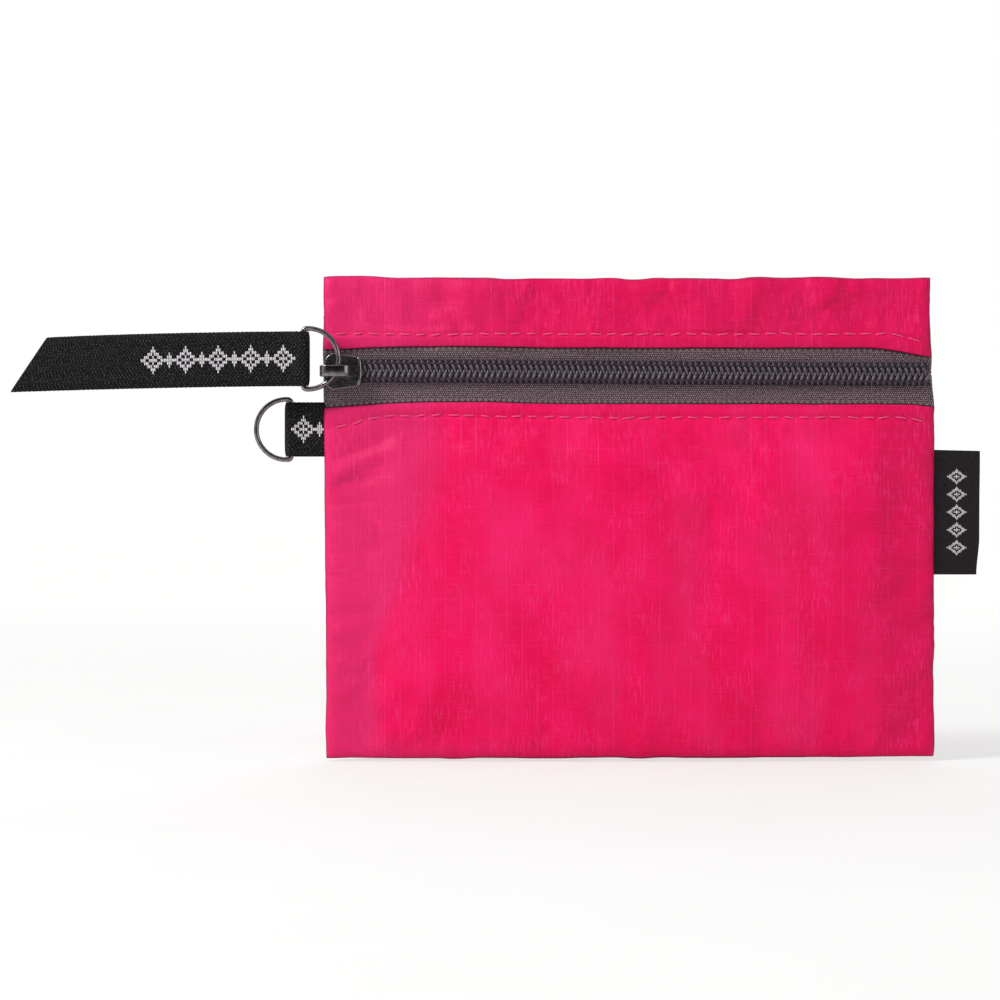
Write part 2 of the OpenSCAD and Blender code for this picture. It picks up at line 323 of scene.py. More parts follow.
class Nodes:
    """Adds shader nodes to a tree. Cloth coordinates come from the mesh's cloth attribute, in millimetres."""

    def __init__(self, tree):
        self.tree = tree

    def node(self, kind, **settings):
        made = self.tree.nodes.new(kind)
        for key, value in settings.items():
            setattr(made, key, value)
        return made

    def put(self, value, socket):
        if isinstance(value, bpy.types.NodeSocket):
            self.tree.links.new(value, socket)
        else:
            socket.default_value = value

    def cloth(self, scale=(1, 1, 1), rotation=0.0):
        """The cloth coordinates, scaled and turned."""
        source = self.node("ShaderNodeAttribute", attribute_name="cloth")
        place = self.node("ShaderNodeMapping")
        place.inputs["Scale"].default_value = scale
        place.inputs["Rotation"].default_value = (0, 0, rotation)
        self.put(source.outputs["Vector"], place.inputs["Vector"])
        return place.outputs["Vector"]

    def math(self, operation, a, b=0.0):
        made = self.node("ShaderNodeMath", operation=operation)
        self.put(a, made.inputs[0])
        self.put(b, made.inputs[1])
        return made.outputs[0]

    def split(self, vector):
        made = self.node("ShaderNodeSeparateXYZ")
        self.put(vector, made.inputs[0])
        return made.outputs[0], made.outputs[1], made.outputs[2]

    def noise(self, vector, scale, detail=2.0, rough=0.5):
        made = self.node("ShaderNodeTexNoise")
        self.put(vector, made.inputs["Vector"])
        made.inputs["Scale"].default_value = scale
        made.inputs["Detail"].default_value = detail
        made.inputs["Roughness"].default_value = rough
        return made.outputs["Fac"]

    def span(self, value, low, high, to_low=0.0, to_high=1.0):
        """Maps low..high to to_low..to_high, and holds the ends."""
        made = self.node("ShaderNodeMapRange")
        self.put(value, made.inputs["Value"])
        made.inputs["From Min"].default_value = low
        made.inputs["From Max"].default_value = high
        made.inputs["To Min"].default_value = to_low
        made.inputs["To Max"].default_value = to_high
        return made.outputs["Result"]

    def wave(self, value, pitch):
        """A cosine between 0 and 1 that repeats every pitch."""
        angle = self.math("MULTIPLY", value, 2 * math.pi / pitch)
        return self.span(self.math("COSINE", angle), -1, 1)

    def line(self, value, pitch, width):
        """Thin lines every pitch: 1 on a line and 0 between."""
        folded = self.math("PINGPONG", value, pitch / 2)
        return self.span(folded, width / 2, width, 1.0, 0.0)

    def edge_on(self, low, high):
        """0 where the surface faces the viewer and 1 where it turns away."""
        made = self.node("ShaderNodeLayerWeight")
        made.inputs["Blend"].default_value = 0.5
        return self.span(made.outputs["Facing"], low, high)

    def mix(self, share, a, b):
        made = self.node("ShaderNodeMix", data_type="RGBA")
        self.put(share, made.inputs[0])
        self.put(a, made.inputs[6])
        self.put(b, made.inputs[7])
        return made.outputs[2]

    def relief(self, height, distance, strength=1.0, under=None):
        """Bump of the given depth in millimetres."""
        made = self.node("ShaderNodeBump")
        made.inputs["Strength"].default_value = strength
        made.inputs["Distance"].default_value = distance * MM
        self.put(height, made.inputs["Height"])
        if under is not None:
            self.put(under, made.inputs["Normal"])
        return made.outputs["Normal"]


class Look(Nodes):
    """One procedural material."""

    def __init__(self, name):
        self.material = bpy.data.materials.new(name)
        self.material.use_nodes = True
        super().__init__(self.material.node_tree)
        self.shader = self.tree.nodes["Principled BSDF"]

    def finish(self, colour, roughness, normal=None, **others):
        self.put(colour, self.shader.inputs["Base Color"])
        self.put(roughness, self.shader.inputs["Roughness"])
        if normal is not None:
            self.put(normal, self.shader.inputs["Normal"])
        for key, value in others.items():
            self.put(value, self.shader.inputs[key.replace("_", " ")])
        return self.material


def ripstop(name, main, pale, deep, painted_shade, lit, rim):
    """Plain-woven nylon with a ripstop grid, slubby threads and soft mottling.

    Where nothing lies behind it (the cloth's third coordinate is 0), its colour is painted light and shade: a
    paler painted sheen towards the lit side and painted shade elsewhere. Broad pale bands are painted sheen,
    and it darkens to painted shade where it turns away.
    """
    look = Look(name)
    flat = look.cloth((1, 1, 0))
    u, v, backed = look.split(look.cloth())
    slub_up = look.noise(look.cloth((2.4, 0.3, 0)), 1.0, 3.0, 0.65)
    slub_across = look.noise(look.cloth((0.3, 2.4, 0)), 1.0, 3.0, 0.65)
    patches = look.noise(flat, 0.07, 4.0, 0.6)
    painted_sheen_bands = look.noise(look.cloth((0.075, 0.03, 0), 0.55), 1.0, 3.0, 0.5)
    streaky = look.span(look.noise(flat, 0.09, 2.0), 0.4, 0.6)
    fade_up = look.span(look.noise(look.cloth((0.31, 0.05, 0)), 1.0, 2.0), 0.42, 0.66)
    fade_across = look.span(look.noise(look.cloth((0.06, 0.31, 0)), 1.0, 2.0), 0.48, 0.68)
    rib_up = look.math("MULTIPLY", look.line(u, 3.25, 0.2), fade_up)
    rib_across = look.math("MULTIPLY", look.line(v, 3.25, 0.18), fade_across)
    ribs = look.math("MAXIMUM", rib_up, look.math("MULTIPLY", rib_across, 0.6))
    threads = look.math("MULTIPLY", look.wave(u, 0.43), 0.6)
    threads = look.math("ADD", threads, look.math("MULTIPLY", look.wave(v, 0.43), 0.4))
    coarse = look.math("MULTIPLY", look.wave(u, 0.86), look.span(slub_up, 0.4, 0.6))
    streak = look.math("MULTIPLY", look.span(slub_up, 0.5, 0.7), streaky)
    colour = look.mix(look.span(patches, 0.36, 0.64), deep, main)
    # Painted sheen: broad slanting bands lighten the colour towards pale.
    colour = look.mix(look.span(painted_sheen_bands, 0.44, 0.66, 0.0, 0.24), colour, pale)
    # Painted light and shade over the hollow rim: a paler painted sheen towards the left, the side the key
    # light comes from, and painted shade towards the right.
    painted_light_and_shade = look.mix(look.span(u, -50, -20), lit, painted_shade)
    colour = look.mix(look.span(backed, 0.0, 1.0, 0.85, 0.0), colour, painted_light_and_shade)
    colour = look.mix(look.math("MULTIPLY", streak, 0.62), colour, pale)
    colour = look.mix(look.span(slub_across, 0.54, 0.74, 0.0, 0.25), colour, pale)
    colour = look.mix(look.math("MULTIPLY", coarse, 0.32), colour, deep)
    colour = look.mix(look.math("MULTIPLY", ribs, 0.24), colour, pale)
    # Painted shade: the colour darkens towards the rim colour where the surface turns away from the camera.
    colour = look.mix(look.edge_on(0.25, 0.8), colour, rim)
    normal = look.relief(threads, 0.05, 0.5)
    normal = look.relief(look.math("ADD", slub_up, slub_across), 0.14, 0.5, normal)
    normal = look.relief(ribs, 0.07, 0.6, normal)
    rough = look.span(patches, 0.3, 0.7, 0.42, 0.55)
    return look.finish(colour, rough, normal, Sheen_Weight=0.03, Sheen_Roughness=0.4,
                       Sheen_Tint=srgb(255, 90, 200), Specular_IOR_Level=0.13)


def thread_look(name, colour, pale):
    """Twisted sewing thread."""
    look = Look(name)
    twist = look.wave(look.math("ADD", *look.split(look.cloth((1, 1.6, 1)))[:2]), 0.32)
    fuzz = look.noise(look.cloth(), 2.5, 3.0)
    shade = look.mix(look.math("MULTIPLY", twist, look.span(fuzz, 0.3, 0.7, 0.4, 1.0)), colour, pale)
    return look.finish(shade, 0.6, look.relief(twist, 0.05, 0.8), Specular_IOR_Level=0.2)


def tape_look():
    """Warp-knitted zip tape: fine slanted loops and pale flecks, with painted shade under the fold beside a
    dotted rib.
    """
    look = Look("zip_tape")
    u, v, from_fold = look.split(look.cloth())
    zig = look.math("MULTIPLY", look.math("PINGPONG", v, 0.45), 0.7)
    loops = look.wave(look.math("ADD", u, zig), 0.47)
    rows = look.wave(v, 0.45)
    knit = look.math("MULTIPLY", loops, look.span(rows, 0.0, 1.0, 0.35, 1.0))
    grain = look.noise(look.cloth((2.6, 2.6, 0)), 1.0, 4.0, 0.7)
    flecks = look.span(look.math("MULTIPLY", grain, look.math("ADD", knit, 0.6)), 0.42, 0.8)
    ridge_line = look.span(look.math("ABSOLUTE", look.math("SUBTRACT", from_fold, 0.5)), 0.12, 0.36, 1.0, 0.0)
    dots = look.math("MULTIPLY", look.wave(u, COIL_PITCH), ridge_line)
    colour = look.mix(look.span(grain, 0.4, 0.6), srgb(28, 18, 26), srgb(78, 54, 66))
    colour = look.mix(look.math("MULTIPLY", knit, 0.3), colour, srgb(124, 98, 106))
    colour = look.mix(look.math("MULTIPLY", flecks, 0.9), colour, srgb(172, 155, 156))
    # Painted shade: the tape darkens under the fold that overhangs it.
    colour = look.mix(look.span(from_fold, 0.1, 0.8, 0.85, 0.0), colour, srgb(30, 10, 20))
    colour = look.mix(look.math("MULTIPLY", dots, 0.6), colour, srgb(158, 140, 142))
    height = look.math("ADD", look.math("MULTIPLY", knit, 0.8), grain)
    normal = look.relief(look.math("ADD", height, dots), 0.14, 0.8)
    return look.finish(colour, 0.8, normal, Sheen_Weight=0.05, Specular_IOR_Level=0.3)


def coil_look():
    """Nylon filament: smooth, slightly waxy, with fine drawing lines."""
    look = Look("zip_coil")
    lines = look.noise(look.cloth((0.6, 6.0, 1)), 1.0, 2.0)
    colour = look.mix(look.span(lines, 0.3, 0.7), srgb(62, 52, 64), srgb(102, 91, 104))
    rough = look.span(lines, 0.3, 0.7, 0.26, 0.4)
    return look.finish(colour, rough, look.relief(lines, 0.02, 0.5), Specular_IOR_Level=0.6)


def metal_look():
    """Black nickel plating with faint tumbling marks."""
    look = Look("gunmetal")
    spots = look.noise(look.cloth(), 0.9, 4.0, 0.6)
    marks = look.noise(look.cloth((0.7, 5.0, 3.0)), 1.0, 3.0)
    colour = look.mix(look.span(spots, 0.35, 0.7), srgb(106, 100, 104), srgb(148, 142, 146))
    rough = look.span(marks, 0.3, 0.7, 0.12, 0.24)
    return look.finish(colour, rough, look.relief(marks, 0.003, 0.1), Metallic=1.0)


def webbing_look():
    """Black herringbone webbing."""
    look = Look("webbing")
    u, v, _ = look.split(look.cloth())
    zig = look.math("MULTIPLY", look.math("PINGPONG", v, 1.45), 0.9)
    twill = look.wave(look.math("ADD", u, zig), 0.78)
    rows = look.wave(v, 0.42)
    grain = look.noise(look.cloth((2.2, 2.2, 1)), 1.0, 3.0, 0.6)
    raised = look.math("MULTIPLY", twill, look.span(rows, 0.0, 1.0, 0.4, 1.0))
    shine = look.math("MULTIPLY", look.span(raised, 0.3, 0.9), look.span(grain, 0.42, 0.66))
    colour = look.mix(shine, srgb(9, 8, 10), srgb(88, 84, 89))
    normal = look.relief(look.math("ADD", raised, look.math("MULTIPLY", grain, 0.4)), 0.16, 0.8)
    return look.finish(colour, 0.72, normal, Sheen_Weight=0.02, Specular_IOR_Level=0.12)


def floss_look():
    """White woven floats of the motifs."""
    look = Look("motif_floss")
    lines = look.wave(look.split(look.cloth())[1], 0.2)
    grain = look.noise(look.cloth(), 1.4, 2.0)
    colour = look.mix(look.span(grain, 0.3, 0.7), srgb(186, 181, 187), srgb(236, 233, 238))
    return look.finish(colour, 0.55, look.relief(lines, 0.03, 0.6), Sheen_Weight=0.2)


def satin_look():
    """Black woven satin."""
    look = Look("label_satin")
    u, v, _ = look.split(look.cloth())
    weft = look.wave(v, 0.24)
    warp = look.wave(u, 0.3)
    grain = look.noise(look.cloth((0.9, 2.6, 1)), 1.0, 3.0)
    colour = look.mix(look.span(grain, 0.3, 0.75), srgb(15, 11, 14), srgb(34, 28, 33))
    height = look.math("ADD", weft, look.math("MULTIPLY", warp, 0.5))
    return look.finish(colour, 0.5, look.relief(height, 0.04, 0.6), Sheen_Weight=0.02, Specular_IOR_Level=0.2)


# Main, pale and deep pinks, then the painted shade and the paler painted sheen of the hollow rim, and the
# painted shade at turned-away edges.
PINKS = [srgb(239, 4, 92), srgb(246, 60, 136), srgb(224, 2, 76), srgb(212, 8, 80), srgb(214, 38, 102),
         srgb(112, 12, 62)]
POUCH_CLOTH = ripstop("pouch_cloth", *PINKS)
TOTE_CLOTH = ripstop("tote_cloth", *PINKS)
STITCH = thread_look("stitch_thread", srgb(240, 52, 116), srgb(252, 112, 158))
TAPE = tape_look()
TAPE_THREAD = thread_look("tape_thread", srgb(46, 38, 46), srgb(96, 86, 95))
COIL = coil_look()
METAL = metal_look()
WEBBING = webbing_look()
FLOSS = floss_look()
SATIN = satin_look()


# ---------------------------------------------------------------- the pouch's outline

def left_edge(z):
    return 0.4 - HALF_W - 0.6 * smooth((z + 40) / 90) + 0.15 * cloud(z, 0 * z, 8, 3)


def right_edge(z):
    lean = HALF_W + 0.3 - 0.9 * smooth((z - 15) / 30)
    return lean - 0.1 + 0.3 * cloud(z, 0 * z, 7, 5)


def top_edge(x):
    waves = 0.2 * cloud(x, 0 * x, 12, 7) + 0.2 * field(x, 0 * x, 5.2, 8)
    return HALF_H - 0.45 + 0.5 * bump(x + 63, 15) + 0.4 * bump(x - 40, 9) + waves


def bottom_edge(x):
    waves = 0.12 * cloud(x, 0 * x, 12, 9) + 0.16 * field(x, 0 * x, 5.5, 10)
    return -HALF_H + 0.15 + 0.25 * smooth((x - 5) / 60) + waves


def fold_up(x):
    """Lower edge of the top band: it comes down to the seam at the right."""
    drop = 1.9 * smooth((x - HALF_W + 17) / 18) ** 1.7
    sway = 0.35 * bump(x + 38, 18) - 0.35 * bump(x + HALF_W, 9) - 0.25
    return FOLD_UP + sway - drop + 0.1 * cloud(x, 0 * x, 7, 11)


def fold_down(x):
    """Upper edge of the lower panel: it falls away to the seam at the left."""
    drop = 0.8 * bump(x + HALF_W, 11) + 0.6 * bump(x - HALF_W, 3.5)
    return FOLD_DOWN + 0.45 * bump(x + 38, 17) - drop + 0.1 * cloud(x, 0 * x, 8, 13)


def stitch_up(x):
    return STITCH_UP - 0.1 - 1.7 * smooth((x - HALF_W + 11) / 11) ** 1.4 + 0.12 * field(x, 0 * x, 6, 15)


def stitch_down(x):
    left = 2.3 * smooth((-HALF_W + 16 - x) / 16) ** 1.3
    right = 1.0 * smooth((x - HALF_W + 8) / 8)
    sway = 0.4 + 0.5 * bump(x + 40, 17)
    return STITCH_DOWN + sway - left - right + 0.12 * field(x, 0 * x, 6, 17)


def tooth_line(x):
    """The chain leans a little from the slider down to the far seam."""
    return TOOTH_Z + 0.2 - 0.75 * smooth((x + HALF_W) / (2 * HALF_W))


def edge_run(steps):
    """Inset and height share of points that come round an edge, from the seam to the flat."""
    angle = np.linspace(EDGE_TUCK, math.pi / 2, steps)
    inset = EDGE_R * (1 - np.cos(angle))
    share = (np.sin(angle) - math.sin(EDGE_TUCK)) / (1 - math.sin(EDGE_TUCK))
    return inset, share


def columns(count):
    """x and height share of a panel's columns, from the left seam to the right one."""
    inset, share = edge_run(EDGE_STEPS)
    inner = np.linspace(-HALF_W + EDGE_R, HALF_W - EDGE_R, count)[1:-1]
    x = np.concatenate([-HALF_W + inset, inner, (HALF_W - inset)[::-1]])
    w = np.concatenate([share, np.ones(len(inner)), share[::-1]])
    return x, w


def fit_width(x, z):
    """Moves x from the straight outline to the real, wavy one."""
    left = left_edge(z)
    return left + (right_edge(z) - left) * (x + HALF_W) / (2 * HALF_W)


# ---------------------------------------------------------------- the pouch's surface

class Settled:
    """Wrinkles of a cloth a little too big for the frame that it is sewn into, found by cloth simulation."""

    STEP = 1.25          # distance between the cloth's points
    SCALE = 0.01         # the simulation runs ten times larger than life
    FRAMES = 24

    def __init__(self, low, high, start, growth, limit):
        self.limit = limit
        self.x = np.linspace(-HALF_W, HALF_W, int(2 * HALF_W / self.STEP))
        self.z = np.linspace(low, high, int((high - low) / self.STEP))
        grid_x, grid_z = np.meshgrid(self.x, self.z)
        depth = start(grid_x, grid_z)
        self.offset = np.zeros_like(depth)
        self.offset = self.simulate(grid_x, grid_z, depth, growth) - depth

    def simulate(self, grid_x, grid_z, depth, growth):
        rows, cols = depth.shape
        verts = np.stack([grid_x, grid_z, depth], 2).reshape(-1, 3) * self.SCALE
        mesh = bpy.data.meshes.new("settling")
        mesh.from_pydata(verts.tolist(), [], quads(rows, cols))
        cloth = link_object("settling", mesh)
        index = np.arange(rows * cols).reshape(rows, cols)
        edge = set(index[0]) | set(index[-1]) | set(index[:, 0]) | set(index[:, -1])
        cloth.vertex_groups.new(name="sewn").add([int(i) for i in edge], 1.0, "REPLACE")
        change = cloth.modifiers.new("settle", "CLOTH")
        change.settings.vertex_group_mass = "sewn"
        change.settings.quality = 6
        change.settings.mass = 0.15
        change.settings.tension_stiffness = 25
        change.settings.compression_stiffness = 25
        change.settings.shear_stiffness = 12
        change.settings.bending_stiffness = 1.5
        change.settings.shrink_min = -growth
        change.settings.effector_weights.gravity = 0
        change.point_cache.frame_start = 1
        change.point_cache.frame_end = self.FRAMES
        for frame_number in range(1, self.FRAMES + 1):
            bpy.context.scene.frame_set(frame_number)
        settled = cloth.evaluated_get(bpy.context.evaluated_depsgraph_get()).data
        flat = np.zeros(rows * cols * 3)
        settled.vertices.foreach_get("co", flat)
        bpy.data.objects.remove(cloth)
        bpy.context.scene.frame_set(1)
        return flat.reshape(rows, cols, 3)[:, :, 2] / self.SCALE

    def at(self, x, z):
        """Depth that the wrinkles add at a place, easing off towards the limit."""
        gx = np.clip((x - self.x[0]) / (self.x[1] - self.x[0]), 0, len(self.x) - 1.001)
        gz = np.clip((z - self.z[0]) / (self.z[1] - self.z[0]), 0, len(self.z) - 1.001)
        ix = gx.astype(int)
        iz = gz.astype(int)
        fx = smooth(gx - ix)
        fz = smooth(gz - iz)
        low = self.offset[iz, ix] * (1 - fx) + self.offset[iz, ix + 1] * fx
        high = self.offset[iz + 1, ix] * (1 - fx) + self.offset[iz + 1, ix + 1] * fx
        return self.limit * np.tanh((low * (1 - fz) + high * fz) / self.limit)


def plain_belly(x, z):
    """The lower panel without wrinkles: a flat rim, the folded tote under the cloth and broad folds."""
    inside = smooth((PACK_HIGH[0] + 6 - np.abs(x)) / 15) * smooth((z - PACK_LOW[2] + 5) / 15)
    inside = inside * smooth((PACK_HIGH[2] + 8 - z) / 16)
    middle = (PACK_LOW[2] + PACK_HIGH[2]) / 2
    dome = (1 - (x / HALF_W) ** 2) * (1 - ((z - middle) / 40) ** 2)
    depth = RIM + 0.9 * inside + 1.8 * np.clip(dome, 0, 1)
    depth = depth + 0.5 * ridge(x, z, (-54, 21), (-4, -20), 6)
    depth = depth - 0.45 * ridge(x, z, (-60, 12), (-26, -26), 5.5)
    depth = depth + 0.4 * ridge(x, z, (-34, 23), (18, 0), 5)
    depth = depth - 0.35 * ridge(x, z, (-12, 24), (30, 4), 4)
    depth = depth + 0.35 * ridge(x, z, (10, -44), (56, -8), 6)
    rumple = cloud(x * 0.9 + z * 0.5, z * 0.75 - x * 0.35, 20, 21)
    return depth + 0.3 * rumple * smooth((HALF_W - np.abs(x)) / 9)


def plain_band(x, z):
    """The top band without wrinkles."""
    return RIM + 0.15 + 0.4 * cloud(x * 0.8 + z * 0.6, z * 0.6 - x * 0.3, 13, 41)


PANEL_WRINKLES = Settled(-HALF_H, STITCH_DOWN, plain_belly, 0.006, 0.8)
BAND_WRINKLES = Settled(STITCH_UP, HALF_H, plain_band, 0.01, 0.6)


# Creases as height, start, end and width. On the panel they fan out from the loop, the zip's ends and the
# label. On the band they run down to the stitches.
PANEL_CREASES = [(-0.6, (-66, 10.5), (-47, 19), 1.5), (0.5, (-66, 8.5), (-45, 17), 2.0),
                 (-0.35, (-65, 6.5), (-52, 8.5), 0.9), (-0.25, (-65, 2.5), (-54, 3.5), 0.8),
                 (-0.35, (64, 15.5), (50, 19), 1.2), (-0.3, (65, -13), (53, -9), 1.3),
                 (0.3, (36, 24), (46, 6), 2.4), (-0.3, (22, 24), (30, 8), 2.2)]
BAND_CREASES = [(-0.5, (-58, 53), (-49, 37), 1.9), (0.3, (-53, 53), (-44, 37), 1.8),
                (-0.45, (-42, 50), (-33, 36), 1.8), (-0.35, (-24, 37), (-17, 53), 1.6),
                (-0.35, (-10, 52), (-2, 36), 1.9), (0.3, (23, 37), (29, 53), 1.8),
                (0.35, (34, 42), (48, 50), 1.6), (-0.25, (44, 53), (53, 37), 1.9)]


def belly(x, z):
    """Depth of the lower panel, creases included."""
    depth = plain_belly(x, z) + PANEL_WRINKLES.at(x, z)
    for height, start, end, width in PANEL_CREASES:
        depth = depth + height * ridge(x, z, start, end, width)
    return depth


def hem_pull(x, z, stitch, fold, side):
    """Relief of a stitched hem: a raised double edge, a groove on the stitches and puckers behind them."""
    behind = side * (z - stitch)
    pucker = 0.6 * cloud(x + 0.3 * z, z * 0.2, 4.6, 31 + side) + 0.5 * cloud(x, z * 0.1, 10, 35 + side)
    depth = 0.26 * pucker * smooth(behind / 2.0) * bump(behind, 9)
    depth = depth - 0.3 * bump(behind, 0.6)
    edge = side * (z - fold)
    ripple = 0.12 * cloud(x, 0 * x, 3.2, 39 + side) * bump(edge, 1.6)
    crest = 0.34 * bump(edge - 2.3, 1.5) if side > 0 else 0.3 * bump(edge - 1.2, 1.2)
    return depth - 0.14 * bump(edge, 0.5) + crest + ripple


def panel_depth(x, z):
    """Depth of the lower panel's front, hem included. It never sinks into the tape behind it."""
    near_hem = smooth((z - FOLD_DOWN + 12) / 8)
    depth = belly(x, z) * (1 - near_hem) + (RIM + 0.5 * (belly(x, z) - RIM)) * near_hem
    return np.maximum(depth + hem_pull(x, z, stitch_down(x), fold_down(x), -1), ON_TAPE)


def band_depth(x, z):
    """Depth of the top band's front, hem included. It never sinks into the tape behind it."""
    depth = plain_band(x, z) + BAND_WRINKLES.at(x, z)
    for height, start, end, width in BAND_CREASES:
        depth = depth + height * ridge(x, z, start, end, width)
    return np.maximum(depth + hem_pull(x, z, stitch_up(x), fold_up(x), 1), ON_TAPE)


def hem_fold(depth, z, side, reach):
    """Rows that turn a sheet round its fold and back behind itself. side is +1 when the sheet lies above."""
    rows = []
    for angle in np.radians([40, 90, 140, 180]):
        rows.append((depth - HEM_R * (1 - np.cos(angle)), z - side * HEM_R * np.sin(angle)))
    for back in (0.8, 2.0, 3.5, reach):
        rows.append((depth - 2 * HEM_R, z + side * back))
    return rows


def build_front_cloth(name, edge, fold, side, surface, steps, reach):
    """A front cloth, from its outer seam to the hem at the zip and back behind it.

    side is +1 for the band above the zip. reach is how much is turned back.
    """
    x0, wx = columns(300)
    inset, wz = edge_run(EDGE_STEPS)
    start = edge(x0)
    flat = start - side * EDGE_R
    end = fold(x0) + side * HEM_R
    grid = []
    for k in range(EDGE_STEPS):
        grid.append((x0, SEAM_DEPTH + (surface(x0, flat) - SEAM_DEPTH) * wx * wz[k], start - side * inset[k]))
    for t in np.linspace(0, 1, steps)[1:]:
        z = flat + (end - flat) * t
        grid.append((x0, SEAM_DEPTH + (surface(x0, z) - SEAM_DEPTH) * wx, z))
    for depth, z in hem_fold(grid[-1][1], end, side, reach):
        grid.append((x0, depth, z))
    return finish_panel(grid, name)


def backing(x, z):
    """1 where the folded tote lies behind the cloth, and 0 over the hollow rim, where the cloth's colour is
    painted light and shade.

    The cloth lies slack against the pack, so the border wanders and leans in towards the top left.
    """
    lean = np.where(x < 0, 9 * smooth((z + 38) / 55), 0) + 1.2 * cloud(z, 0 * z, 14, 91)
    inside = smooth((PACK_HIGH[0] + 3 - np.abs(x) - lean) / (3.5 + 0.6 * lean))
    return inside * smooth((z - PACK_LOW[2] + 8) / 8) * smooth((FOLD_DOWN + 1 - z) / 3)


def finish_panel(rows, name):
    grid = np.array([np.stack([fit_width(x, z), d - CLOTH / 2, z], 1) for x, d, z in rows])
    run = lengths(grid[:, grid.shape[1] // 2])
    cloth = np.zeros_like(grid)
    cloth[:, :, 0] = grid[:, :, 0]
    cloth[:, :, 1] = run[:, None]
    cloth[:, :, 2] = backing(grid[:, :, 0], grid[:, :, 2])
    shape = Shape()
    add_sheet(shape, grid, CLOTH, cloth)
    return shape.build(name + "_cloth", POUCH_CLOTH, name)


def build_back_panel():
    """The flat back, with the same seams all round."""
    x0, wx = columns(150)
    inset, wz = edge_run(EDGE_STEPS)
    low = bottom_edge(x0)
    top = top_edge(x0)
    rows = [(low + inset[k], wz[k]) for k in range(EDGE_STEPS)]
    rows += [(low + EDGE_R + (top - low - 2 * EDGE_R) * t, 1.0) for t in np.linspace(0, 1, 110)[1:-1]]
    rows += [(top - inset[k], wz[k]) for k in reversed(range(EDGE_STEPS))]
    grid = []
    for z, share in rows:
        flat = 0.22 + 0.1 * cloud(x0, z, 16, 51)
        grid.append((x0, SEAM_DEPTH + (flat - SEAM_DEPTH) * wx * share + CLOTH / 2, z))
    return finish_panel(grid, "back_panel")


# ---------------------------------------------------------------- stitches, tapes and teeth

def build_stitches(name, line, surface):
    """A row of short raised stitches along a line on a surface."""
    low, high = box_mm(name)
    pitch = 3.4
    count = int((high[0] - low[0] + 5) // pitch)
    rng = np.random.default_rng(61)
    shape = Shape()
    t = np.linspace(-1, 1, 9)
    for i in range(count):
        middle = (i - (count - 1) / 2) * pitch + rng.uniform(-0.18, 0.18)
        half = 1.2 + rng.uniform(-0.18, 0.14)
        lean = rng.uniform(-0.16, 0.2)
        x = middle + half * t
        z = line(x) + lean * t
        depth = surface(x, line(x)) + 0.22 * (1 - t ** 4) - 0.16 * t ** 4
        path = np.stack([fit_width(x, z), depth, z], 1)
        add_tube(shape, path, 0.18 - 0.05 * t ** 4, sides=8, flat=0.8, squash_axis=1)
    return shape.build(name + "_thread", STITCH, name)


# The slider stops here when the zip is open. What lies past its wedge stays closed.
OPEN_END = SLIDER_LOW[0] + find_joint("slider_slide")["range_m"][1] / MM + WEDGE_START + WEDGE_LENGTH + 0.2
PARTS = {"run": (-HALF_W, OPEN_END), "end": (OPEN_END, HALF_W)}


def half_name(stem, side):
    return stem + ("_upper" if side > 0 else "_lower")


def within(x, part):
    """Which of a row of points belong to a part of the zip, with one shared point where the parts meet."""
    low, high = PARTS[part]
    return (x >= low) & (x < high + 0.2)


def wedge_gap(x):
    """How far the teeth and the tapes part from the tooth line round the slider's wedge."""
    return 0.75 * smooth((SLIDER_HIGH[0] - 3.4 - x) / 1.6)


def build_tape(side, part):
    """One woven tape, its ends drawn into the side seams and shaded under the fold beside it."""
    name = half_name("zipper_tape", side)
    x0, wx = columns(200)
    keep = within(x0, part)
    x0 = x0[keep]
    wx = wx[keep]
    fold = fold_up(x0) if side > 0 else fold_down(x0)
    reach = abs((TAPE_TOP if side > 0 else TAPE_LOW) - TOOTH_Z)
    inner = 0.12
    grid = []
    cloth = []
    for across in np.linspace(inner, reach, 40):
        far = (across - inner) / (reach - inner)
        z = tooth_line(x0) * (1 - far) + TOOTH_Z * far + side * (across + wedge_gap(x0) * (1 - far) ** 6)
        dip = 0.12 * bump(across - COIL_HALF - 0.4, 0.6) - 0.06 * bump(across - 6.1, 0.5)
        front = TAPE_FRONT - 0.1 - dip - 0.14 * smooth((across - 4.5) / 2) + 0.1 * cloud(x0, z, 6, 71)
        grid.append(np.stack([fit_width(x0, z), SEAM_DEPTH + (front - 0.2 - SEAM_DEPTH) * wx, z], 1))
        cloth.append(np.stack([x0, np.full_like(x0, across), side * (fold - z)], 1))
    shape = Shape()
    add_sheet(shape, np.array(grid), 0.4, np.array(cloth))
    return shape.build(f"{name}_weave_{part}", TAPE, name)


def chain_place(x, across, depth, side):
    """A point of the chain: it parts round the slider's wedge and bends back into the far seam."""
    z = tooth_line(x) + side * (across + wedge_gap(x))
    sink = smooth((np.abs(x) - HALF_W + 2.2) / 2.4)
    return np.stack([x, depth - 1.2 * sink, z], -1)


